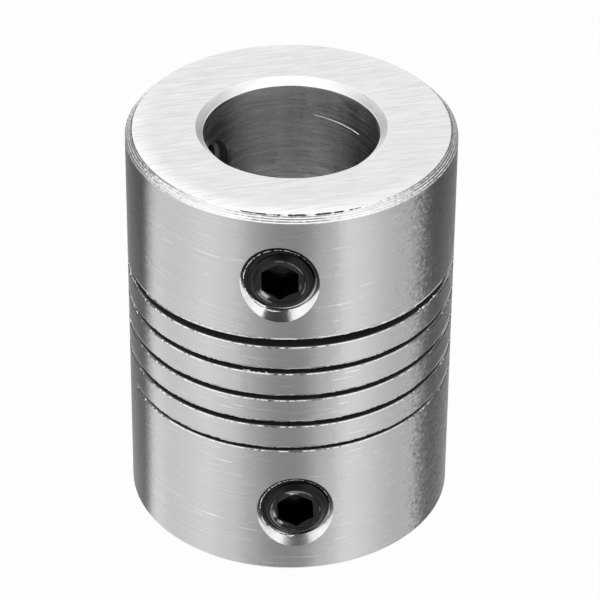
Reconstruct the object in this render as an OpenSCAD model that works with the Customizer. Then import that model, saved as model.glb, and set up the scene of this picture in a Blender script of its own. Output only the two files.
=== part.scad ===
// Flexible shaft coupling: one turned aluminium body with a spiral slit through
// its wall, and two set screws at each end that clamp the shafts.
// It stands on its lower end, +Z runs along the bore, and the front is -Y.
// Angles go round from the front and grow towards +X.

/* [Body] */
// Outside diameter of the body
body_d = 19; // [18.6:0.2:24]
// Length of the body from end face to end face
body_l = 25; // [24.6:0.2:40]
// Chamfer round the outside of each end
end_chamfer = 0.4; // [0.1:0.05:0.8]

/* [Shaft bore] */
// Diameter of the two shafts that the coupling joins
shaft_d = 10; // [5:0.5:10]
// Play of a shaft in the bore, on the diameter
shaft_play = 0.1; // [0.02:0.02:0.2]
// Chamfer at each mouth of the bore
bore_chamfer = 0.45; // [0.1:0.05:0.8]

/* [Spiral slit] */
// Rise of the slit in one turn
slit_pitch = 1.85; // [1.4:0.05:2]
// Number of turns from the lower end of the slit to its upper end
slit_turns = 4.5; // [2.5:0.25:4.75]
// Width of the slit in its middle turns
slit_width = 0.36; // [0.2:0.02:0.6]
// Width of the slit in its top turn, which has sprung open
top_turn_width = 0.55; // [0.2:0.01:0.7]
// Width of the slit in its bottom turn, which has closed a little
bottom_turn_width = 0.26; // [0.16:0.01:0.6]
// Height of the middle of the slit above the middle of the body
slit_lift = 0.34; // [-0.4:0.02:0.4]
// Angle of the lower end of the slit
slit_start = -67; // [-180:1:180]
// How much lower the relaxed turns lie on the right than a true spiral
slit_lean = 0.17; // [0:0.01:0.25]

/* [Set screws] */
// Thread diameter of the set screws
screw_d = 4; // [3:0.5:4.5]
// Distance of the screws from the nearer end face
screw_inset = 4.5; // [3.4:0.1:4.8]
// Angle from the front screw round to the side screw of the same end
screw_spread = -108; // [-150:1:-60]
// Turn of the lower pair of screws against the upper pair
lower_pair_turn = 6; // [-20:1:20]
// Gap round a screw in its hole
thread_gap = 0.02; // [0.01:0.01:0.05]
// Diameter of the countersink at the mouth of a screw hole
countersink_d = 5; // [4.7:0.1:5.8]
// Distance that the point of a front screw stays back from the bore
point_gap = 0.2; // [0.1:0.05:0.5]
// Depth of the upper front screw below the outside of the body
upper_front_recess = 0.25; // [0.15:0.05:0.4]
// Depth of the lower front screw below the outside of the body
lower_front_recess = 0.15; // [0.15:0.05:0.4]
// Depth of the side screws below the outside of the body
side_recess = 0.15; // [0.15:0.05:0.4]
// Chamfer at the outer end of a screw
face_chamfer = 0.45; // [0.1:0.05:0.5]
// Diameter of the ring that a cup point presses into the shaft
cup_d = 2.2; // [1.6:0.1:2.4]
// Depth of the hollow in a cup point
cup_depth = 0.5; // [0.2:0.05:0.8]

/* [Hex sockets] */
// Size of the hex key across its flats
key_size = 2; // [1.9:0.1:2.2]
// Play of the key in its socket, across the flats
key_play = 0.06; // [0.02:0.02:0.1]
// Depth of the socket's flats
socket_depth = 2.1; // [1.2:0.1:2.3]
// Diameter of the drilled hole that the socket was broached in
drill_d = 1.8; // [1.2:0.1:1.8]
// Depth of the drill point at the bottom of the socket
drill_point = 0.35; // [0.1:0.05:0.5]
// Turn of the lower front screw's socket about its own axis
lower_key_turn = 4; // [-30:1:30]

/* [Hidden] */
$fn = 96;
body_r = body_d / 2;
bore_r = (shaft_d + shaft_play) / 2;
wall = body_r - bore_r;
upper_z = body_l - screw_inset;
lower_z = screw_inset;
hole_r = screw_d / 2 + thread_gap;
countersink_r = countersink_d / 2;
screw_l = wall - upper_front_recess - point_gap;
// Overshoot of a cutter past the surface that it cuts
over = 0.5;
// Angle between two sections of the slit's cutter
slit_step = 10;
slit_angle = slit_turns * 360;
slit_low_z = body_l / 2 + slit_lift - slit_turns * slit_pitch / 2;
// Turns counted from the slit's lower end, with the width that the slit has there
slit_widths = [
    [0.45, bottom_turn_width],
    [0.95, slit_width],
    [slit_turns - 1.1, slit_width],
    [slit_turns - 0.5, top_turn_width]
];

// Width of the slit, and the height of its middle, at an angle along its length
function width_at(a) = lookup(a / 360, slit_widths);
function mid_at(a) = slit_low_z + slit_pitch * a / 360
    - slit_lean * sin(slit_start + a)
    + abs(width_at(a) - slit_width) / 2;

// Point of the cutter at radius r and angle a, above (1) or below (-1) the middle
function slit_point(r, a, side) = [
    r * sin(slit_start + a),
    -r * cos(slit_start + a),
    mid_at(a) + side * width_at(a) / 2
];

// One section of the cutter: inner and outer points, below and above
function slit_section(a) = [
    slit_point(bore_r - over, a, -1),
    slit_point(body_r + over, a, -1),
    slit_point(body_r + over, a, 1),
    slit_point(bore_r - over, a, 1)
];

// The four sides between section i and the next one, each as two triangles
function slit_sides(i) = [
    for (k = [0:3]) let (p = 4 * i + k, q = 4 * i + (k + 1) % 4)
        each [[p, q, p + 4], [q, q + 4, p + 4]]
];

// A blade that follows the spiral, from inside the bore to outside the body
module slit_cutter() {
    steps = ceil(slit_angle / slit_step);
    points = [for (i = [0:steps]) each slit_section(slit_angle * i / steps)];
    sides = [for (i = [0:steps - 1]) each slit_sides(i)];
    last = 4 * steps;
    ends = [
        [2, 1, 0], [3, 2, 0],
        [last, last + 1, last + 2], [last, last + 2, last + 3]
    ];
    polyhedron(points, concat(sides, ends));
}

// Turned blank: outside, end faces, bore and their chamfers in one section
module blank() {
    rotate_extrude() polygon([
        [bore_r + bore_chamfer, 0],
        [body_r - end_chamfer, 0],
        [body_r, end_chamfer],
        [body_r, body_l - end_chamfer],
        [body_r - end_chamfer, body_l],
        [bore_r + bore_chamfer, body_l],
        [bore_r, body_l - bore_chamfer],
        [bore_r, bore_chamfer]
    ]);
}

// Puts its children at a screw's height and angle, with +Z pointing outwards
module at_screw(z, angle) {
    translate([0, 0, z]) rotate([0, 0, angle]) rotate([90, 0, 0]) children();
}

// Hole for a screw from the bore outwards, with a 90 degree countersink
module screw_hole() {
    cylinder(h = body_r + over, r = hole_r);
    sink = countersink_r - hole_r;
    translate([0, 0, body_r - sink])
        cylinder(h = sink + over, r1 = hole_r, r2 = countersink_r + over);
}

// Hex socket with a drill point, cut down from height 0
module hex_socket(key_turn) {
    across_corners = (key_size + key_play) / cos(30);
    rotate([0, 0, 30 + key_turn]) {
        translate([0, 0, -socket_depth])
            cylinder(h = socket_depth + over, d = across_corners, $fn = 6);
    }
    rotate_extrude() polygon([
        [0, -socket_depth - drill_point],
        [drill_d / 2, -socket_depth],
        [drill_d / 2, 0],
        [0, 0]
    ]);
}

// Cup point set screw, with its outer end recess below the outside of the body
module set_screw(recess, key_turn) {
    crest_r = screw_d / 2;
    cup_r = cup_d / 2;
    point_chamfer = crest_r - cup_r;
    translate([0, 0, body_r - recess]) difference() {
        rotate_extrude() polygon([
            [0, cup_depth - screw_l],
            [cup_r, -screw_l],
            [crest_r, point_chamfer - screw_l],
            [crest_r, -face_chamfer],
            [crest_r - face_chamfer, 0],
            [0, 0]
        ]);
        hex_socket(key_turn);
    }
}

module coupling_body() {
    color("silver") difference() {
        blank();
        slit_cutter();
        at_screw(upper_z, 0) screw_hole();
        at_screw(upper_z, screw_spread) screw_hole();
        at_screw(lower_z, lower_pair_turn) screw_hole();
        at_screw(lower_z, lower_pair_turn + screw_spread) screw_hole();
    }
}

module upper_front_set_screw() {
    color("dimgray") at_screw(upper_z, 0) set_screw(upper_front_recess, 0);
}

module upper_side_set_screw() {
    color("dimgray") at_screw(upper_z, screw_spread) set_screw(side_recess, 0);
}

module lower_front_set_screw() {
    color("dimgray") at_screw(lower_z, lower_pair_turn)
        set_screw(lower_front_recess, lower_key_turn);
}

module lower_side_set_screw() {
    color("dimgray") at_screw(lower_z, lower_pair_turn + screw_spread)
        set_screw(side_recess, 0);
}

coupling_body();
upper_front_set_screw();
upper_side_set_screw();
lower_front_set_screw();
lower_side_set_screw();
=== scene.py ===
from math import cos, pi, radians, sin

import bmesh
import bpy
from mathutils import Matrix, Vector


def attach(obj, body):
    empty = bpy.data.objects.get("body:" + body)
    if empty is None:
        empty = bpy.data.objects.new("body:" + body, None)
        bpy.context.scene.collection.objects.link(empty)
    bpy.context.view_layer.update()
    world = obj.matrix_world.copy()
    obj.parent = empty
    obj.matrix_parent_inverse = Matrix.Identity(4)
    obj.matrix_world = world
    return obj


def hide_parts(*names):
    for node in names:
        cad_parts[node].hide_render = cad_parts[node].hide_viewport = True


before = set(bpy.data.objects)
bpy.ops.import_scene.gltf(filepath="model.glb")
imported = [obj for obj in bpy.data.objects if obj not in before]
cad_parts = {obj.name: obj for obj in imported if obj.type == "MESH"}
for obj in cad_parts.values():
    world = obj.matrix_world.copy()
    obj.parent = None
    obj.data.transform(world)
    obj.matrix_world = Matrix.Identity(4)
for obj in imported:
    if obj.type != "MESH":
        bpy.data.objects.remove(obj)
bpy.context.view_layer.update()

# COUPLING BODY
# One piece of aluminium bar: turned outside, faced and chamfered at both ends, and bored right
# through. Then the spiral slit is cut through its wall, and the four screw holes are countersunk
# and tapped M4.

MM = 0.001
BODY_R = 9.5
BODY_L = 25.0
BORE_R = 5.05
END_CHAMFER = 0.4
BORE_CHAMFER = 0.45
UPPER_SCREWS = 20.5
LOWER_SCREWS = 4.5
SIDE_SCREW_TURN = -108
LOWER_PAIR_TURN = 6
THREAD_PITCH = 0.7
TURNED_STEPS = 512
# The height of each screw's axis, and its angle round from the front.
SCREW_PLACES = {
    "upper_front_set_screw": (UPPER_SCREWS, 0),
    "upper_side_set_screw": (UPPER_SCREWS, SIDE_SCREW_TURN),
    "lower_front_set_screw": (LOWER_SCREWS, LOWER_PAIR_TURN),
    "lower_side_set_screw": (LOWER_SCREWS, LOWER_PAIR_TURN + SIDE_SCREW_TURN),
}


def rounded(corners, steps=3):
    """A section's corners (r, z, fillet, finish), with each fillet drawn as a few short edges."""
    points = []
    for i, (x, z, fillet, finish) in enumerate(corners):
        here = Vector((x, z))
        back = Vector(corners[i - 1][:2]) - here
        on = Vector(corners[(i + 1) % len(corners)][:2]) - here
        if not fillet:
            points.append((x, z, finish))
            continue
        start, end = here + back.normalized() * fillet, here + on.normalized() * fillet
        for k in range(steps + 1):
            t = k / steps
            points.append((*((1 - t) ** 2 * start + 2 * t * (1 - t) * here + t ** 2 * end), finish))
    return points


def turned_mesh(name, section, steps, finishes):
    """A section (r, z, finish) in millimetres turned about Z, as one welded mesh in metres."""
    work = bmesh.new()
    rings = []
    for x, z, finish in section:
        if x == 0:
            rings.append([work.verts.new((0, 0, z * MM))] * steps)
            continue
        rings.append([
            work.verts.new((
                x * sin(2 * pi * k / steps) * MM, -x * cos(2 * pi * k / steps) * MM, z * MM))
            for k in range(steps)
        ])
    for i in range(len(rings)):
        lower, upper = rings[i], rings[(i + 1) % len(rings)]
        for k in range(steps):
            corners = [lower[k], lower[(k + 1) % steps], upper[(k + 1) % steps], upper[k]]
            corners = list(dict.fromkeys(corners))
            if len(corners) > 2:
                work.faces.new(corners).material_index = section[i][2]
    bmesh.ops.recalc_face_normals(work, faces=work.faces)
    mesh = bpy.data.meshes.new(name)
    work.to_mesh(mesh)
    work.free()
    for finish in finishes:
        mesh.materials.append(finish)
    return mesh


class Figure:
    """A number inside a node tree, so that a tree's sums read like sums."""

    def __init__(self, tree, socket):
        self.tree, self.socket = tree, socket

    def step(self, operation, other=None):
        node = self.tree.nodes.new("ShaderNodeMath")
        node.operation = operation
        plug(self.tree, self, node.inputs[0])
        if other is not None:
            plug(self.tree, other, node.inputs[1])
        return Figure(self.tree, node.outputs[0])

    def __add__(self, other):
        return self.step("ADD", other)

    def __sub__(self, other):
        return self.step("SUBTRACT", other)

    def __mul__(self, other):
        return self.step("MULTIPLY", other)

    def __truediv__(self, other):
        return self.step("DIVIDE", other)

    def ramp(self, low, high, start, end):
        """Goes from start to end while this goes from low to high, and stays there."""
        node = self.tree.nodes.new("ShaderNodeMapRange")
        ends = {"Value": self, "From Min": low, "From Max": high, "To Min": start, "To Max": end}
        for name, value in ends.items():
            plug(self.tree, value, node.inputs[name])
        return Figure(self.tree, node.outputs[0])


def plug(tree, value, socket):
    """Links a figure or a socket into a socket, or writes a plain value there."""
    if isinstance(value, Figure):
        value = value.socket
    if isinstance(value, bpy.types.NodeSocket):
        tree.links.new(value, socket)
    else:
        socket.default_value = value


def place(tree, kind, links=None, **settings):
    """Puts a node in a tree, with its settings and its inputs by name or number."""
    node = tree.nodes.new(kind)
    for name, value in settings.items():
        setattr(node, name, value)
    for name, value in (links or {}).items():
        plug(tree, value, node.inputs[name])
    return node


def split(tree, vector):
    """The X, Y and Z of a vector, as figures."""
    return [Figure(tree, one) for one in place(tree, "ShaderNodeSeparateXYZ", {0: vector}).outputs]


def joined(tree, x=0.0, y=0.0, z=0.0):
    """The vector with this X, Y and Z."""
    return place(tree, "ShaderNodeCombineXYZ", {"X": x, "Y": y, "Z": z}).outputs[0]


def reckoned(tree, operation, vector, other=None):
    """One step of vector maths. SCALE takes a number as its other, and the rest take a vector."""
    links = {0: vector}
    if other is not None:
        links["Scale" if operation == "SCALE" else 1] = other
    return place(tree, "ShaderNodeVectorMath", links, operation=operation).outputs[0]


KINDS = {"number": "NodeSocketFloat", "count": "NodeSocketInt", "finish": "NodeSocketMaterial"}


def new_tree(name, inputs):
    """An empty Geometry Nodes tree with named inputs. Gives the tree and its inputs as figures."""
    tree = bpy.data.node_groups.new(name, "GeometryNodeTree")
    tree.interface.new_socket("Geometry", in_out="INPUT", socket_type="NodeSocketGeometry")
    tree.interface.new_socket("Geometry", in_out="OUTPUT", socket_type="NodeSocketGeometry")
    for label, kind in inputs.items():
        tree.interface.new_socket(label, in_out="INPUT", socket_type=KINDS[kind])
    entry = tree.nodes.new("NodeGroupInput")
    return tree, {s.name: Figure(tree, s) for s in entry.outputs if s.name}


def coated(tree, geometry, finish, where=None):
    """Sets the material of a shape, or of the part of it that where selects."""
    links = {"Geometry": geometry, "Material": finish}
    if where is not None:
        links["Selection"] = where
    return place(tree, "GeometryNodeSetMaterial", links).outputs[0]


def tagged(tree, geometry, cutter_kind):
    """Writes on a cutter's faces which kind of cutter it is, to tell the faces that it cuts."""
    links = {"Geometry": geometry, "Name": "cut_by", "Value": cutter_kind}
    kept = place(tree, "GeometryNodeStoreNamedAttribute", links, data_type="INT", domain="FACE")
    return kept.outputs[0]


def finish_tree(tree, geometry, finish, by_cutter=None):
    """Ends a tree with Realize Instances and Set Material, or the finishes that cutters leave."""
    real = place(tree, "GeometryNodeRealizeInstances", {"Geometry": geometry}).outputs[0]
    if finish is not None:
        real = coated(tree, real, finish)
    for cutter_kind, its_finish in (by_cutter or {}).items():
        tag = place(tree, "GeometryNodeInputNamedAttribute", {"Name": "cut_by"}, data_type="INT")
        match = Figure(tree, tag.outputs["Attribute"]).step("COMPARE", cutter_kind)
        real = coated(tree, real, its_finish, match)
    tree.links.new(real, tree.nodes.new("NodeGroupOutput").inputs[0])


def run_tree(name, tree, values, mesh=None):
    """Runs a tree on a mesh and gives the result as a plain mesh object, with no modifier left."""
    piece = bpy.data.objects.new(name, mesh or bpy.data.meshes.new(name))
    bpy.context.scene.collection.objects.link(piece)
    modifier = piece.modifiers.new("shape", "NODES")
    modifier.node_group = tree
    for item in tree.interface.items_tree:
        if item.in_out == "INPUT" and item.name in values:
            modifier[item.identifier] = values[item.name]
    evaluated = piece.evaluated_get(bpy.context.evaluated_depsgraph_get())
    result = bpy.data.meshes.new_from_object(evaluated)
    piece.modifiers.clear()
    piece.data = result
    result.name = name
    return piece


def spiral_bar(tree, steps, turns, start, rise_at, inner, outer, inner_half, outer_half):
    """A four-sided bar swept round a spiral, from the angle start and over a number of turns.

    rise_at gives the height of its middle. inner and outer are the radii of its two sides, and
    inner_half and outer_half give half of its height there.
    """
    bar = place(tree, "GeometryNodeMeshCylinder", {
        "Vertices": 4, "Side Segments": steps, "Radius": 1.0, "Depth": 1.0})
    x, y, z = split(tree, place(tree, "GeometryNodeInputPosition").outputs[0])
    turn = (z + 0.5) * turns
    out, up = x + y, x - y
    radius = out.ramp(-1.0, 1.0, inner, outer)
    half = out.ramp(-1.0, 1.0, inner_half(turn, up), outer_half(turn, up))
    angle = turn * (2 * pi) + start
    at = joined(
        tree, radius * angle.step("SINE"), radius * angle.step("COSINE") * -1.0,
        up * half + rise_at(turn, angle))
    return place(tree, "GeometryNodeSetPosition", {
        "Geometry": bar.outputs["Mesh"], "Position": at}).outputs[0]


def cut(tree, piece, cutters):
    """Cuts away each of the cutters, one after another."""
    both = place(tree, "GeometryNodeMeshBoolean", operation="DIFFERENCE", solver="MANIFOLD")
    tree.links.new(piece, both.inputs["Mesh 1"])
    for cutter in cutters:
        tree.links.new(cutter, both.inputs["Mesh 2"])
    return both.outputs["Mesh"]


# Shader group for what a tool or a sheet of abrasive leaves: fine steps, streaks and single
# scratches, all along one direction. Turn is that direction's angle about Z, Stretch says how
# close the marks lie along X, Y and Z, and Across is the way that the steps lean.
marks = bpy.data.node_groups.new("Tool marks", "ShaderNodeTree")
for label, kind in {
    "Turn": "NodeSocketFloat", "Stretch": "NodeSocketVector", "Across": "NodeSocketVector",
    "Lean": "NodeSocketFloat", "Depth": "NodeSocketFloat", "Sparse": "NodeSocketFloat",
    "Grain": "NodeSocketFloat",
}.items():
    marks.interface.new_socket(label, in_out="INPUT", socket_type=kind)
for label, kind in {
    "Tone": "NodeSocketFloat", "Scratch": "NodeSocketFloat", "Normal": "NodeSocketVector",
}.items():
    marks.interface.new_socket(label, in_out="OUTPUT", socket_type=kind)
entry = marks.nodes.new("NodeGroupInput").outputs
spot = place(marks, "ShaderNodeTexCoord").outputs["Object"]
turned = place(marks, "ShaderNodeVectorRotate", {
    "Vector": spot, "Angle": entry["Turn"]}, rotation_type="Z_AXIS").outputs[0]
drawn = reckoned(marks, "MULTIPLY", turned, entry["Stretch"])


def mark_noise(scale, detail):
    """Noise that is drawn out along the marks."""
    noise = place(marks, "ShaderNodeTexNoise", {"Vector": drawn, "Scale": scale, "Detail": detail})
    return Figure(marks, noise.outputs["Fac"])


steps = (mark_noise(6.0, 3.0) - 0.5) * 2.0
streaks = (mark_noise(1.0, 4.0) - 0.5) * 2.0
sparse = Figure(marks, entry["Sparse"])
lone = mark_noise(1.7, 1.0).ramp(sparse, sparse + 0.04, 0.0, 1.0)
tilt = Figure(marks, entry["Lean"]) + (steps + streaks * 0.35) * Figure(marks, entry["Depth"])
leaned = reckoned(marks, "SCALE", entry["Across"], tilt)
grains = place(marks, "ShaderNodeTexNoise", {"Vector": spot, "Scale": 5200.0, "Detail": 2.0})
centred = reckoned(marks, "SUBTRACT", grains.outputs["Color"], (0.5, 0.5, 0.5))
grain = reckoned(marks, "SCALE", centred, entry["Grain"])
face_normal = place(marks, "ShaderNodeNewGeometry").outputs["Normal"]
summed = reckoned(marks, "ADD", reckoned(marks, "ADD", face_normal, grain), leaned)
way_out = marks.nodes.new("NodeGroupOutput")
plug(marks, streaks, way_out.inputs["Tone"])
plug(marks, lone, way_out.inputs["Scratch"])
plug(marks, reckoned(marks, "NORMALIZE", summed), way_out.inputs["Normal"])


def metal(name, colour, roughness, anisotropic=0.0, metallic=1.0):
    """A new metal with its plain values. Gives the material, its tree and its shader."""
    made = bpy.data.materials.new(name)
    made.use_nodes = True
    shader = made.node_tree.nodes["Principled BSDF"]
    shader.inputs["Metallic"].default_value = metallic
    shader.inputs["Base Color"].default_value = (*colour, 1)
    shader.inputs["Roughness"].default_value = roughness
    shader.inputs["Anisotropic"].default_value = anisotropic
    shader.inputs["Anisotropic Rotation"].default_value = 0.25
    return made, made.node_tree, shader


def marked_metal(name, colour, marks_are, roughness, tone, scratch, **plain):
    """A metal whose colour and roughness follow its tool marks. tone and scratch say how much."""
    made, tree, shader = metal(name, colour, roughness, **plain)
    links = {"Across": (0, 0, 1), "Lean": 0.0, **marks_are}
    group = place(tree, "ShaderNodeGroup", links, node_tree=marks)
    streak, lone = Figure(tree, group.outputs["Tone"]), Figure(tree, group.outputs["Scratch"])
    tint = reckoned(tree, "SCALE", colour, streak * tone + lone * scratch + 1.0)
    plug(tree, tint, shader.inputs["Base Color"])
    plug(tree, streak * (-0.5 * tone) + roughness, shader.inputs["Roughness"])
    plug(tree, group.outputs["Normal"], shader.inputs["Normal"])
    return made


# Shader group that tells where on the body a point lies: its X, its Y, and its distance from the
# bore's axis.
round_bore = bpy.data.node_groups.new("Round the bore", "ShaderNodeTree")
x, y, z = split(round_bore, place(round_bore, "ShaderNodeTexCoord").outputs["Object"])
for label in ("X", "Y", "From axis"):
    round_bore.interface.new_socket(label, in_out="OUTPUT", socket_type="NodeSocketFloat")
way_out = round_bore.nodes.new("NodeGroupOutput")
for label, figure in {"X": x, "Y": y, "From axis": (x * x + y * y).step("SQRT")}.items():
    plug(round_bore, figure, way_out.inputs[label])


def paint_light(made, strength, mask_at):
    """Paints light into a metal's colour by a mask that mask_at makes from the place on the body.
    Gives the mask.
    """
    tree = made.node_tree
    shader = tree.nodes["Principled BSDF"]
    group = place(tree, "ShaderNodeGroup", node_tree=round_bore)
    mask = mask_at(*(Figure(tree, group.outputs[label]) for label in ("X", "Y", "From axis")))
    tint = shader.inputs["Base Color"].links[0].from_socket
    plug(tree, reckoned(tree, "SCALE", tint, mask * strength + 1.0), shader.inputs["Base Color"])
    return mask


turned_side = marked_metal(
    "turned side", (0.62, 0.62, 0.625),
    {"Stretch": (220, 220, 7000), "Lean": 0.88, "Depth": 0.04, "Sparse": 0.70},
    roughness=0.28, tone=0.05, scratch=0.4, anisotropic=1.0)
# The right side of the body has a patch of faintly pitted skin.
skin = turned_side.node_tree
its_marks = next(n for n in skin.nodes if n.bl_idname == "ShaderNodeGroup")
its_place = place(skin, "ShaderNodeGroup", node_tree=round_bore)
pits = Figure(skin, its_place.outputs["X"]).ramp(5.8 * MM, 7.2 * MM, 0.12, 0.36)
plug(skin, pits, its_marks.inputs["Grain"])
# The end face was sanded in one direction. Towards the front of its rim its colour is brightened: a
# painted highlight.
SANDING = radians(17.0)
sanded_face_painted_highlight = marked_metal("sanded end face with painted highlight", (0.78, 0.78, 0.785), {
    "Turn": -SANDING, "Stretch": (420, 5200, 1), "Across": (-sin(SANDING), cos(SANDING), 0),
    "Depth": 0.10, "Sparse": 0.62, "Grain": 0.03}, roughness=0.30, tone=0.22, scratch=-0.08)
paint_light(sanded_face_painted_highlight, 0.22, lambda x, y, from_axis: (
    from_axis.ramp(8.0 * MM, 9.0 * MM, 0.0, 1.0) * (x * 0.55 + y).ramp(0.0, -8.0 * MM, 0.1, 1.0)))
turned_chamfer = marked_metal(
    "turned chamfer", (0.90, 0.90, 0.905),
    {"Stretch": (300, 300, 7000), "Lean": 0.45, "Depth": 0.25, "Sparse": 0.68, "Grain": 0.55},
    roughness=0.28, tone=0.15, scratch=0.1)
bore_chamfer = marked_metal(
    "bore chamfer", (0.94, 0.94, 0.945),
    {"Stretch": (700, 700, 2400), "Lean": 0.93, "Depth": 0.3, "Sparse": 0.68, "Grain": 0.08},
    roughness=0.34, tone=0.10, scratch=0.1)
bored_wall = marked_metal(
    "bored wall", (0.68, 0.68, 0.685),
    {"Stretch": (130, 130, 8000), "Depth": 0.5, "Sparse": 0.72, "Grain": 0.03},
    roughness=0.24, tone=0.6, scratch=0.4, anisotropic=0.9)
# The flanks of the slit and of the other narrow cuts are given a dark colour: painted shade where
# little light gets in.
shaded_sawn_flank = marked_metal(
    "sawn flank with painted shade", (0.2, 0.2, 0.2),
    {"Stretch": (2000, 2000, 2000), "Depth": 0.1, "Sparse": 0.7},
    roughness=0.6, tone=0.1, scratch=0.0)


def paint_mouth_light_mask(x, y, from_axis):
    """The outermost part of the slit's flanks, which reaches deeper far left and far right. Light
    is painted into the flank's colour there.
    """
    deeper = x.step("ABSOLUTE").ramp(8.9 * MM, 9.25 * MM, 0.0, 0.13 * MM)
    return (from_axis + deeper).ramp(9.35 * MM, 9.46 * MM, 0.0, 1.0)


# Painted light at the slit's mouth: the dark flank's colour is brightened there and made less
# metallic.
painted_mouth_light = paint_light(shaded_sawn_flank, 3.4, paint_mouth_light_mask)
flank_shader = shaded_sawn_flank.node_tree.nodes["Principled BSDF"]
plug(shaded_sawn_flank.node_tree, painted_mouth_light * -1.0 + 1.0, flank_shader.inputs["Metallic"])
countersunk = marked_metal(
    "countersink", (0.88, 0.88, 0.885),
    {"Stretch": (1500, 1500, 1500), "Depth": 0.03, "Sparse": 0.7, "Grain": 0.08},
    roughness=0.14, tone=0.1, scratch=0.1)
rubbed_countersink = marked_metal(
    "rubbed countersink", (0.93, 0.93, 0.935),
    {"Stretch": (1500, 1500, 1500), "Depth": 0.05, "Sparse": 0.7, "Grain": 0.08},
    roughness=0.26, tone=0.1, scratch=0.1)
tapped = marked_metal(
    "tapped thread", (0.55, 0.55, 0.555),
    {"Stretch": (1500, 1500, 1500), "Depth": 0.1, "Sparse": 0.7},
    roughness=0.30, tone=0.1, scratch=0.1)
edge_burr = marked_metal(
    "edge burr", (0.90, 0.90, 0.905),
    {"Stretch": (3000, 3000, 3000), "Depth": 0.1, "Sparse": 0.7},
    roughness=0.22, tone=0.1, scratch=0.0)

# The finishes of the blank's surfaces, by their place in its list of metals.
SIDE, FACE, OUTER, INNER, WALL, BRIGHT = range(6)
BLANK_FINISHES = [turned_side, sanded_face_painted_highlight, turned_chamfer, bore_chamfer, bored_wall, edge_burr]
# Rolled edges, the turning grooves of the upper chamfer, the outer part of the end face, which
# the abrasive has worn down, and the bore's edge, which is broken by a narrow second chamfer.
EDGE = 0.03
GROOVES = 4
GROOVE_DEPTH = 0.016
WORN_WIDTH = 1.1
WORN_DEPTH = 0.03
BROKEN_WIDTH = 0.07
chamfer_run = []
for i in range(1, 2 * GROOVES):
    t = i / (2 * GROOVES)
    back = GROOVE_DEPTH if i % 2 else 0.0
    chamfer_run.append((
        BODY_R - END_CHAMFER * t - back, BODY_L - END_CHAMFER * (1 - t) - back, 0, OUTER))
face_run = [
    (9.0 - 0.2 * k, BODY_L - WORN_DEPTH * ((1.0 - 0.2 * k) / WORN_WIDTH) ** 2, 0, FACE)
    for k in range(5)
]
body_section = rounded([
    (BORE_R + BORE_CHAMFER, 0, EDGE, FACE),
    (BODY_R - END_CHAMFER, 0, EDGE, OUTER),
    (BODY_R, END_CHAMFER, EDGE, SIDE),
    (BODY_R, BODY_L - END_CHAMFER, EDGE, OUTER),
    *chamfer_run,
    (BODY_R - END_CHAMFER, BODY_L - WORN_DEPTH, 0.02, FACE),
    *face_run,
    (BORE_R + BORE_CHAMFER, BODY_L, EDGE, INNER),
    (BORE_R + BROKEN_WIDTH, BODY_L - BORE_CHAMFER + BROKEN_WIDTH, 0, BRIGHT),
    (BORE_R, BODY_L - BORE_CHAMFER + 0.05, 0.015, WALL),
    (BORE_R, BORE_CHAMFER, EDGE, INNER),
])
blank = turned_mesh("coupling_blank", body_section, TURNED_STEPS, BLANK_FINISHES)

SLIT_SIZES = {
    "Turns": 4.5, "Pitch": 1.85 * MM, "Middle width": 0.36 * MM, "Top width": 0.55 * MM,
    "Bottom width": 0.26 * MM, "Lean": 0.17 * MM, "Lowest middle": 8.6775 * MM,
    "Start angle": radians(-67),
}
# The inputs of every tree that follows the slit.
SLIT = dict.fromkeys(SLIT_SIZES, "number")
tree, given = new_tree("Coupling cuts", {
    **SLIT, "Inner radius": "number", "Outer radius": "number", "Sections": "count",
    "Thread pitch": "number", "Minor radius": "number", "Major radius": "number",
    "Countersink radius": "number", "Lip sections": "count", "Bevel": "number", "Nick": "number",
    "Shaded cut finish": "finish", "Lip finish": "finish", "Thread finish": "finish",
    "Countersink finish": "finish", "Lower countersink finish": "finish",
})


def slit_half(given, turn):
    """Half of the slit's width at a number of turns."""
    low = turn.ramp(0.45, 0.95, given["Bottom width"], given["Middle width"])
    high = turn.ramp(
        given["Turns"] - 1.1, given["Turns"] - 0.5, 0.0, given["Top width"] - given["Middle width"])
    return (low + high) * 0.5


def slit_rise(given, turn, angle):
    """Height of the slit's middle at a number of turns."""
    stray = (slit_half(given, turn) - given["Middle width"] * 0.5).step("ABSOLUTE")
    true_spiral = given["Lowest middle"] + given["Pitch"] * turn
    return true_spiral - given["Lean"] * angle.step("SINE") + stray


def turned_to(tree, geometry, height, angle):
    """Puts a shape with its axis along Z at a screw's height and angle, +Z pointing outwards."""
    return place(tree, "GeometryNodeTransform", {
        "Geometry": geometry, "Translation": joined(tree, z=height),
        "Rotation": joined(tree, pi / 2, z=angle)}).outputs[0]


def rod(tree, sides, low, high, bottom, top):
    """A rod along Z from the height low to high, with its radius at the bottom and at the top."""
    cone = place(tree, "GeometryNodeMeshCone", {
        "Vertices": sides, "Radius Bottom": bottom, "Radius Top": top, "Depth": high - low})
    return place(tree, "GeometryNodeTransform", {
        "Geometry": cone.outputs["Mesh"], "Translation": joined(tree, z=low)}).outputs[0]


def noise_along(tree, along, scale, detail):
    """Noise along a line, as a figure."""
    noise = place(tree, "ShaderNodeTexNoise", {
        "W": along, "Scale": scale, "Detail": detail}, noise_dimensions="1D")
    return Figure(tree, noise.outputs["Fac"])


# How far the slit's cutter reaches past the outside of the body and into its bore.
PAST = 0.5
blade = spiral_bar(
    tree, given["Sections"], given["Turns"], given["Start angle"],
    lambda turn, angle: slit_rise(given, turn, angle), given["Inner radius"],
    given["Outer radius"], lambda turn, up: slit_half(given, turn),
    lambda turn, up: slit_half(given, turn))


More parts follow.
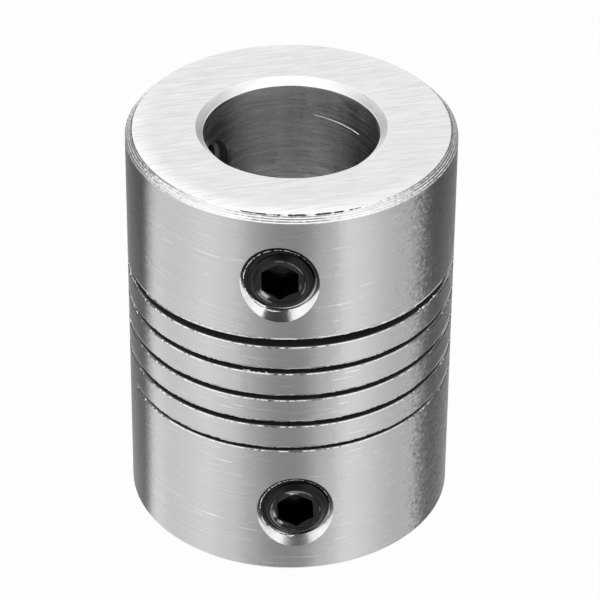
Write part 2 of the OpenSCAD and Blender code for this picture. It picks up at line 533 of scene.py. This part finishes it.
def ragged_half(turn, up):
    """The slit's half width where its lip is broken away: an uneven bevel with a few nicks."""
    along = turn * 60.0 + up * 7.0
    nicks = noise_along(tree, along, 5.0, 2.0).ramp(0.45, 0.75, 0.0, given["Nick"])
    bevel = noise_along(tree, along + 3.0, 0.8, 1.0).ramp(
        0.35, 0.65, given["Bevel"] * 0.3, given["Bevel"])
    return slit_half(given, turn) + (nicks + bevel) * 2.0


lip_blade = spiral_bar(
    tree, given["Lip sections"], given["Turns"], given["Start angle"],
    lambda turn, angle: slit_rise(given, turn, angle),
    given["Outer radius"] - (PAST + 0.06) * MM, given["Outer radius"] - (PAST - 0.06) * MM,
    lambda turn, up: slit_half(given, turn) - 0.01 * MM, ragged_half)


def above_lip(turn, angle):
    """Height of the fine furrow that sets off the ridge of burr along the upper lip."""
    return slit_rise(given, turn, angle) + slit_half(given, turn) + given["Bevel"] * 1.9


def furrow_half(turn, up):
    """Half the furrow's width, which fades out and comes back along the lip."""
    fading = noise_along(tree, turn * 60.0 + 40.0, 0.5, 3.0).ramp(0.25, 0.5, 0.5, 1.5)
    return fading * turn.ramp(3.6, 3.95, given["Bevel"] * 0.55, given["Bevel"] * 1.1)


furrow = spiral_bar(
    tree, given["Lip sections"], given["Turns"], given["Start angle"], above_lip,
    given["Outer radius"] - (PAST + 0.10) * MM, given["Outer radius"] - (PAST - 0.06) * MM,
    lambda turn, up: 0.002 * MM, furrow_half)
# The tools of a screw hole, which reach from inside the bore to past the side of the body. Next
# to the bore the hole is as wide as its thread, and its edge there is broken.
WITHIN, BEYOND = 4.0 * MM, 10.5 * MM
SINK_DEPTH = 1.3
THREAD_STEPS, THREAD_TURNS = 440, 9.0
drill = rod(tree, 96, WITHIN, BEYOND, given["Minor radius"], given["Minor radius"])
sink = rod(
    tree, 128, (BODY_R - SINK_DEPTH) * MM, BEYOND, given["Countersink radius"] - SINK_DEPTH * MM,
    given["Countersink radius"] + 1.0 * MM)
tap = spiral_bar(
    tree, THREAD_STEPS, THREAD_TURNS, 0.0,
    lambda turn, angle: given["Thread pitch"] * turn + WITHIN,
    given["Minor radius"] - 0.13 * MM, given["Major radius"],
    lambda turn, up: 0.33 * MM, lambda turn, up: 0.075 * MM)
# The wall of this wider part takes the dark flank finish, which is painted shade.
relief = rod(tree, 96, WITHIN, 5.3 * MM, given["Major radius"], given["Major radius"])
broken = given["Major radius"] + 0.01 * MM
broken_edge = rod(tree, 96, WITHIN, 4.78 * MM, broken, broken)
# A fine scratch inside the bore, above the slit.
score = spiral_bar(
    tree, 40, 0.1, radians(133), lambda turn, angle: turn * 3.0 * MM + 22.45 * MM,
    given["Inner radius"], given["Inner radius"] + (PAST + 0.035) * MM,
    lambda turn, up: 0.4 * MM, lambda turn, up: 0.006 * MM)


def torn_half(turn, up):
    """Half the width of the furrow along the rim, which is torn into short pieces."""
    middle = (turn - 0.06).step("ABSOLUTE").ramp(0.015, 0.05, 1.5, 0.55)
    patches = noise_along(tree, turn * 80.0, 1.0, 4.0)
    return patches.ramp(0.42, 0.54, 0.002 * MM, 0.045 * MM) * middle


# The furrow is real, and its inside takes the dark flank finish, which is painted shade.
rim_furrow = spiral_bar(
    tree, 500, 0.118, radians(-14), lambda turn, angle: 24.935 * MM,
    given["Outer radius"] - (PAST + 0.52) * MM, given["Outer radius"] - (PAST + 0.31) * MM,
    lambda turn, up: 0.001 * MM, torn_half)
# The kinds of cutter, each of which leaves a finish of its own. The slit, the widened inner end of
# each hole and the furrow along the rim take the dark flank finish, which is painted shade.
SHADED_CUT, TAPPED, SUNK, LIP, LOWER_SUNK = 1, 2, 3, 4, 5
cutters = [
    tagged(tree, blade, SHADED_CUT), tagged(tree, lip_blade, LIP), tagged(tree, furrow, LIP),
    tagged(tree, score, LIP), tagged(tree, rim_furrow, SHADED_CUT),
]
for height, angle in SCREW_PLACES.values():
    sunk = SUNK if height == UPPER_SCREWS else LOWER_SUNK
    for cutter, kind in (
        (drill, TAPPED), (relief, SHADED_CUT), (broken_edge, LIP), (sink, sunk), (tap, TAPPED),
    ):
        cutters.append(turned_to(tree, tagged(tree, cutter, kind), height * MM, radians(angle)))
finish_tree(tree, cut(tree, given["Geometry"].socket, cutters), None, {
    SHADED_CUT: given["Shaded cut finish"], TAPPED: given["Thread finish"], SUNK: given["Countersink finish"],
    LIP: given["Lip finish"], LOWER_SUNK: given["Lower countersink finish"]})

body = run_tree("turned_body", tree, {
    **SLIT_SIZES, "Inner radius": (BORE_R - PAST) * MM, "Outer radius": (BODY_R + PAST) * MM,
    "Sections": 648, "Thread pitch": THREAD_PITCH * MM, "Minor radius": 1.68 * MM,
    "Major radius": 2.02 * MM, "Countersink radius": 2.5 * MM, "Lip sections": 2000,
    "Bevel": 0.045 * MM, "Nick": 0.055 * MM, "Shaded cut finish": shaded_sawn_flank, "Lip finish": edge_burr,
    "Thread finish": tapped, "Countersink finish": countersunk,
    "Lower countersink finish": rubbed_countersink,
}, blank)
body.data.shade_smooth()
body.data.set_sharp_from_angle(angle=radians(20))
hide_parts("coupling_body")
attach(body, "root")

# BURR CRUMBS
# The cutter that sawed the slit left a few crumbs of bright metal hanging on its lips. They are
# part of the body. Each little heap is scattered round one place of the spiral.

tree, given = new_tree("Burr crumbs", {
    **SLIT, "Turn": "number", "Spread": "number", "Side": "number", "Count": "count",
    "Seed": "count", "Radius": "number", "Smallest": "number", "Largest": "number",
    "Finish": "finish",
})


def any_number(low, high, offset):
    """A different number for each crumb."""
    random = place(tree, "FunctionNodeRandomValue", {
        "Min": low, "Max": high, "Seed": given["Seed"] + offset})
    return Figure(tree, random.outputs["Value"])


crumbs = place(tree, "GeometryNodeMeshLine", {"Count": given["Count"]})
turn = given["Turn"] + any_number(-1.0, 1.0, 0.0) * given["Spread"]
angle = turn * (2 * pi) + given["Start angle"]
lip = slit_rise(given, turn, angle) + slit_half(given, turn) * given["Side"]
radius = given["Radius"] - given["Largest"] * any_number(1.0, 1.8, 1.0)
on_lip = joined(
    tree, radius * angle.step("SINE"), radius * angle.step("COSINE") * -1.0,
    lip + any_number(-0.5, 1.0, 2.0) * given["Largest"])
laid = place(tree, "GeometryNodeSetPosition", {"Geometry": crumbs.outputs[0], "Position": on_lip})
crumb = place(tree, "GeometryNodeMeshIcoSphere", {"Radius": 1.0, "Subdivisions": 2})
sizes = joined(
    tree, *(any_number(given["Smallest"], given["Largest"], offset) for offset in (3.0, 4.0, 5.0)))
scattered = place(tree, "GeometryNodeInstanceOnPoints", {
    "Points": laid.outputs[0], "Instance": crumb.outputs["Mesh"], "Scale": sizes})
finish_tree(tree, scattered.outputs[0], given["Finish"])
# Each heap's place and spread in turns, its lip (1 upper, -1 lower) and its number of crumbs.
HEAPS = {
    "crumbs_top_turn": (4.352, 0.018, -1, 26),
    "crumbs_second_turn": (3.163, 0.012, -1, 16),
    "crumbs_fourth_turn": (1.306, 0.006, 1, 5),
    "crumbs_lower_end": (0.004, 0.004, 1, 3),
    "crumbs_left_top_turn": (3.985, 0.022, -1, 16),
    "crumbs_left_second_turn": (2.985, 0.02, -1, 12),
    "crumbs_left_third_turn": (1.972, 0.004, 1, 8),
}
for i, (name, (turns, spread, side, count)) in enumerate(HEAPS.items()):
    heap = run_tree(name, tree, {
        **SLIT_SIZES, "Turn": turns, "Spread": spread, "Side": float(side), "Count": count,
        "Seed": i * 10 + 3, "Radius": BODY_R * MM, "Smallest": 0.02 * MM, "Largest": 0.075 * MM,
        "Finish": edge_burr})
    heap.data.shade_smooth()
    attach(heap, "root")

# LIP BURRS
# Along the upper lip of the slit's top turn the saw has pushed out a thin bright burr. It is part
# of the body, stands a few hundredths of a millimetre proud, and was left there.

tree, given = new_tree("Lip burr", {
    **SLIT, "From turn": "number", "Along": "number", "Radius": "number", "Proud": "number",
    "Height": "number", "Finish": "finish",
})


def burr_half(turn, up):
    """Half of the burr's height at its root, which comes and goes and fades out at both ends."""
    pushed = noise_along(tree, turn * 110.0, 1.0, 2.0).ramp(0.3, 0.55, 0.55, 1.0)
    fade = turn.ramp(0.0, 0.015, 0.1, 1.0) * (given["Along"] - turn).ramp(0.0, 0.015, 0.1, 1.0)
    return pushed * fade * given["Height"]


def burr_rise(turn, angle):
    """Height of the burr's middle, just above the slit's upper lip."""
    along = turn + given["From turn"]
    return slit_rise(given, along, angle) + slit_half(given, along) + given["Height"]


burr = spiral_bar(
    tree, 240, given["Along"], given["Start angle"] + given["From turn"] * (2 * pi), burr_rise,
    given["Radius"] - 0.03 * MM, given["Radius"] + given["Proud"], burr_half,
    lambda turn, up: 0.003 * MM)
finish_tree(tree, burr, given["Finish"])
# Where each burr starts, and how far it goes, in turns.
for name, (turns, along) in {
    "burr_left_of_the_front": (4.031, 0.134),
    "burr_right_of_the_front": (4.275, 0.056),
}.items():
    lip_burr = run_tree(name, tree, {
        **SLIT_SIZES, "From turn": turns, "Along": along, "Radius": BODY_R * MM,
        "Proud": 0.07 * MM, "Height": 0.05 * MM, "Finish": edge_burr})
    lip_burr.data.shade_smooth()
    lip_burr.data.set_sharp_from_angle(angle=radians(20))
    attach(lip_burr, "root")

# TORN FIRST THREADS
# Where each countersink meets the thread, the tap has torn up a fine bright sliver. It is part of
# the body, a broken ring at the mouth of the hole.

tree, given = new_tree("Torn first thread", {
    "Height": "number", "Angle": "number", "Start angle": "number", "Radius": "number",
    "Largest": "number", "Seed": "number", "Finish": "finish",
})


def sliver_half(turn, up):
    """Half the sliver's width, none in most places."""
    patches = noise_along(tree, turn * 16.0 + given["Seed"], 1.0, 4.0)
    return patches.ramp(0.5, 0.62, 0.0, given["Largest"])


sliver = spiral_bar(
    tree, 200, 0.95, given["Start angle"], lambda turn, angle: turn * 0.08 * MM + 9.0 * MM,
    given["Radius"] - given["Largest"], given["Radius"] + given["Largest"] * 2.0,
    sliver_half, sliver_half)
finish_tree(tree, turned_to(tree, sliver, given["Height"], given["Angle"]), given["Finish"])
for i, (name, (height, angle)) in enumerate(SCREW_PLACES.items()):
    torn = run_tree("sliver_at_" + name, tree, {
        "Height": height * MM, "Angle": radians(angle), "Start angle": radians(20.0),
        "Radius": 2.05 * MM, "Largest": 0.035 * MM, "Seed": 5.0 * i + 1.0, "Finish": edge_burr})
    torn.data.shade_smooth()
    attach(torn, "root")

# SET SCREWS
# Four M4 set screws of steel with a black oxide finish: a rolled thread, a chamfered outer end
# with a broached hex socket, and a hollow cup point. They are screwed into the body's tapped
# holes.

black_oxide, oxide, shader = metal("black oxide", (0.022, 0.022, 0.022), 0.35)
own_place = place(oxide, "ShaderNodeAttribute", attribute_name="own_place")
x, y, z = split(oxide, own_place.outputs["Vector"])
from_axis = (x * x + y * y).step("SQRT")


def oxide_noise(vector, scale, detail):
    """Noise on the oxide, as a figure."""
    noise = place(oxide, "ShaderNodeTexNoise", {"Vector": vector, "Scale": scale, "Detail": detail})
    return Figure(oxide, noise.outputs["Fac"])


def near(radius, width):
    """One on a ring of this radius, fading to none within the width."""
    return (from_axis - radius).step("ABSOLUTE").ramp(width * 0.4, width, 1.0, 0.0)


# The oxide is worn in patches: on the ring round the socket, and where the point bears on the
# shaft. The lower screws read the noise elsewhere, so that their wear is different.
anywhere = place(oxide, "ShaderNodeTexCoord").outputs["Object"]
level = split(oxide, anywhere)[2]
shifted = joined(oxide, level.ramp(16 * MM, 8 * MM, 0.0, 31.7 * MM))
patchy = oxide_noise(reckoned(oxide, "ADD", anywhere, shifted), 900.0, 3.0)
FLAT_RING, SOCKET_MOUTH = 1.42, 1.24
rubbed = (
    near(FLAT_RING, 0.06) * patchy.ramp(0.45, 0.62, 0.0, 0.5)
    + near(SOCKET_MOUTH, 0.13) * patchy.ramp(0.55, 0.64, 0.0, 1.0))
at_point = patchy.ramp(0.4, 0.5, 0.2, 1.0) * z.ramp(-3.4, -3.3, 0.7, 0.0)
wear = (rubbed * z.ramp(-0.4, -0.2, 0.0, 1.0) + at_point).step("MINIMUM", 1.0)
turned_rings = oxide_noise(joined(oxide, from_axis * 9.0, z * 9.0, y * 0.4), 1.6, 2.0)
grey = turned_rings.ramp(0.3, 0.7, 0.012, 0.04) + wear * 0.5
plug(oxide, joined(oxide, grey, grey, grey), shader.inputs["Base Color"])
plug(oxide, patchy.ramp(0.3, 0.7, 0.28, 0.42), shader.inputs["Roughness"])

tree, given = new_tree("Set screw", {
    "Seat": "number", "Height": "number", "Angle": "number", "Key turn": "number",
    "Key radius": "number", "Socket depth": "number", "Drill radius": "number",
    "Drill point": "number", "Pitch": "number", "Crest radius": "number", "Root radius": "number",
    "Finish": "finish",
})
seat = joined(tree, z=given["Seat"])
seated = place(tree, "GeometryNodeTransform", {
    "Geometry": given["Geometry"], "Translation": seat}).outputs[0]
groove = spiral_bar(
    tree, THREAD_STEPS, THREAD_TURNS, 0.0,
    lambda turn, angle: given["Pitch"] * (turn + 0.5) + WITHIN,
    given["Root radius"], given["Crest radius"] + 0.06 * MM,
    lambda turn, up: 0.10 * MM, lambda turn, up: 0.31 * MM)
socket_floor = given["Seat"] - given["Socket depth"]
hexagon = rod(
    tree, 6, socket_floor, given["Seat"] + 0.5 * MM, given["Key radius"], given["Key radius"])
hexagon = place(tree, "GeometryNodeTransform", {
    "Geometry": hexagon, "Rotation": joined(tree, z=given["Key turn"])}).outputs[0]
drilled = rod(
    tree, 48, socket_floor - given["Drill point"], socket_floor + 0.1 * MM, 0.01 * MM,
    given["Drill radius"])
shaped = cut(tree, seated, [groove, hexagon, drilled])
# Each point keeps its place on its own screw, in millimetres, for the oxide.
here = place(tree, "GeometryNodeInputPosition").outputs[0]
own = reckoned(tree, "SCALE", reckoned(tree, "SUBTRACT", here, seat), 1 / MM)
kept = place(tree, "GeometryNodeStoreNamedAttribute", {
    "Geometry": shaped, "Name": "own_place", "Value": own,
}, data_type="FLOAT_VECTOR", domain="POINT").outputs[0]
finish_tree(tree, turned_to(tree, kept, given["Height"], given["Angle"]), given["Finish"])

# From the floor of the cup up to the outer end: the cup's ring, the chamfer of the point, the
# crest, the chamfer and the flat ring of the outer end, and the shallow dish round its socket.
screw_section = [
    (0, -3.5, 0), (1.1, -4.0, 0), (2.0, -3.1, 0), (2.0, -0.45, 0), (1.55, 0, 0), (FLAT_RING, 0, 0),
    (0.9, -0.16, 0), (0, -0.16, 0),
]
# The height of a screw's outer end above the bore's axis, and the turn of its socket.
SEATS = {"upper_front_set_screw": 9.25}
KEY_TURNS = {"lower_front_set_screw": 4}
for name, (height, angle) in SCREW_PLACES.items():
    screw_blank = turned_mesh("set_screw_blank", screw_section, 96, [black_oxide])
    screw = run_tree("threaded_" + name, tree, {
        "Seat": SEATS.get(name, 9.35) * MM, "Height": height * MM, "Angle": radians(angle),
        "Key turn": radians(30 + KEY_TURNS.get(name, 0)),
        "Key radius": 2.06 / 2 / cos(radians(30)) * MM, "Socket depth": 2.1 * MM,
        "Drill radius": 0.9 * MM, "Drill point": 0.35 * MM, "Pitch": THREAD_PITCH * MM,
        "Crest radius": 2.0 * MM, "Root radius": 1.64 * MM, "Finish": black_oxide,
    }, screw_blank)
    screw.data.shade_smooth()
    screw.data.set_sharp_from_angle(angle=radians(30))
    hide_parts(name)
    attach(screw, "root")

# TABLE
# The photo's white ground: a plain white table that carries the coupling and takes its soft
# shadow. The camera and the metal see it as the photo's white.

TABLE_HALF = 1.5
table_mesh = bpy.data.meshes.new("table")
table_mesh.from_pydata([
    (-TABLE_HALF, -TABLE_HALF, 0), (TABLE_HALF, -TABLE_HALF, 0), (TABLE_HALF, TABLE_HALF, 0),
    (-TABLE_HALF, TABLE_HALF, 0)], [], [(0, 1, 2, 3)])
table = bpy.data.objects.new("table", table_mesh)
bpy.context.scene.collection.objects.link(table)
white, tree, shader = metal("white table", (0.85, 0.85, 0.85), 0.9, metallic=0.0)
path = place(tree, "ShaderNodeLightPath")
seen = Figure(tree, path.outputs["Is Camera Ray"])
for ray in ("Is Glossy Ray", "Is Transmission Ray"):
    seen = seen.step("MAXIMUM", path.outputs[ray])
WHITENED = 0.96
glow = place(tree, "ShaderNodeEmission")
mixed = place(tree, "ShaderNodeMixShader", {
    0: seen * WHITENED, 1: shader.outputs[0], 2: glow.outputs[0]})
plug(tree, mixed.outputs[0], tree.nodes["Material Output"].inputs[0])
table_mesh.materials.append(white)

# LIGHT TENT
# Soft light as in a photo tent: tall panels left and right, one behind, and a lit roof. It is dark
# where the camera stands, and low down between the side panels and the back one. Azimuths grow
# from the camera to the right.

world = bpy.data.worlds.new("light tent")
bpy.context.scene.world = world
world.use_nodes = True
tent = world.node_tree
CAMERA_AZIMUTH = 3.7
towards = place(tent, "ShaderNodeTexCoord").outputs["Generated"]
faced = place(tent, "ShaderNodeVectorRotate", {
    "Vector": towards, "Angle": radians(-CAMERA_AZIMUTH)}, rotation_type="Z_AXIS")
x, y, z = split(tent, faced.outputs[0])
azimuth = x.step("ARCTAN2", y * -1.0) * (180 / pi)
height = z.step("ARCSINE") * (180 / pi)

ring = place(tent, "ShaderNodeValToRGB", {"Fac": azimuth / 360 + 0.5})
stops = ring.color_ramp.elements
# The brightness of the walls at each azimuth. A ramp's colours stop at 1, so they are scaled.
BRIGHTEST = 2.0
LEVELS = [
    (-180, 1.05), (-164, 1.05), (-157, 0.03), (-111, 0.03), (-107, 0.8), (-103, 1.55), (-96, 1.2),
    (-89, 0.9), (-76, 1.0), (-58, 1.13), (-47, 0.88), (-37, 0.87), (-24, 1.0), (-7, 0.65),
    (9, 0.7), (20, 1.45), (33, 1.17), (53, 1.05), (65, 0.85), (77, 0.65), (90, 0.92), (98, 0.35),
    (105, 0.05), (112, 0.03), (161, 0.03), (168, 1.05), (180, 1.05),
]
stops[0].position, stops[1].position = 0.0, 1.0
for i, (turn_to, level) in enumerate(LEVELS):
    if 0 < i < len(LEVELS) - 1:
        stop = stops.new(turn_to / 360 + 0.5)
    else:
        stop = stops[0] if i == 0 else stops[-1]
    stop.color = (level / BRIGHTEST, level / BRIGHTEST, level / BRIGHTEST, 1)
behind = azimuth.step("ABSOLUTE").ramp(134.0, 152.0, 0.0, 1.0) * height.ramp(20.0, 38.0, 0.0, 1.0)
walls = (Figure(tent, ring.outputs["Color"]) * BRIGHTEST).step("MAXIMUM", behind)
ROOF_FROM, ROOF_TO = 48.0, 62.0
roof = height.ramp(ROOF_FROM, ROOF_TO, 0.0, 1.0)
# A dark oval round the camera's place.
aside, above = azimuth / 42, (height - 50.0) / 18
camera_side = (aside * aside + above * above).ramp(0.7, 1.2, 1.0, 0.0)
light = (walls * height.ramp(ROOF_FROM, ROOF_TO, 1.0, 0.0) + roof * 1.2) * camera_side.ramp(
    0.0, 1.0, 1.0, 0.05)
tent.nodes["Background"].inputs["Color"].default_value = (1, 1, 1, 1)
plug(tent, light, tent.nodes["Background"].inputs["Strength"])

# CAMERA
# It stands where the photo's camera stood, as worked out from the photo: 202 mm away, 35 degrees
# up and a little to the right of the front.

CAMERA_DISTANCE = 202.445 * MM
up, yaw, pitch, roll = radians(34.947), radians(-0.16), radians(-0.10), radians(0.41)
look = Matrix(((1, 0, 0), (0, -sin(up), -cos(up)), (0, cos(up), -sin(up))))
aim = Matrix.Rotation(roll, 3, "Z") @ Matrix.Rotation(pitch, 3, "X") @ Matrix.Rotation(yaw, 3, "Y")
right, down, ahead = aim @ look
round_it = Matrix.Rotation(radians(CAMERA_AZIMUTH), 3, "Z")
matrix = Matrix([round_it @ right, round_it @ -down, round_it @ -ahead]).transposed().to_4x4()
middle = Vector((0, 0, BODY_L / 2 * MM))
matrix.translation = round_it @ (Vector((0, -cos(up), sin(up))) * CAMERA_DISTANCE) + middle
camera_data = bpy.data.cameras.new("camera")
camera_data.lens = 205.9
camera_data.sensor_width = 36
camera_data.clip_start = 0.01
camera = bpy.data.objects.new("camera", camera_data)
camera.matrix_world = matrix
bpy.context.scene.collection.objects.link(camera)
bpy.context.scene.camera = camera
bpy.context.scene.view_settings.view_transform = "Standard"
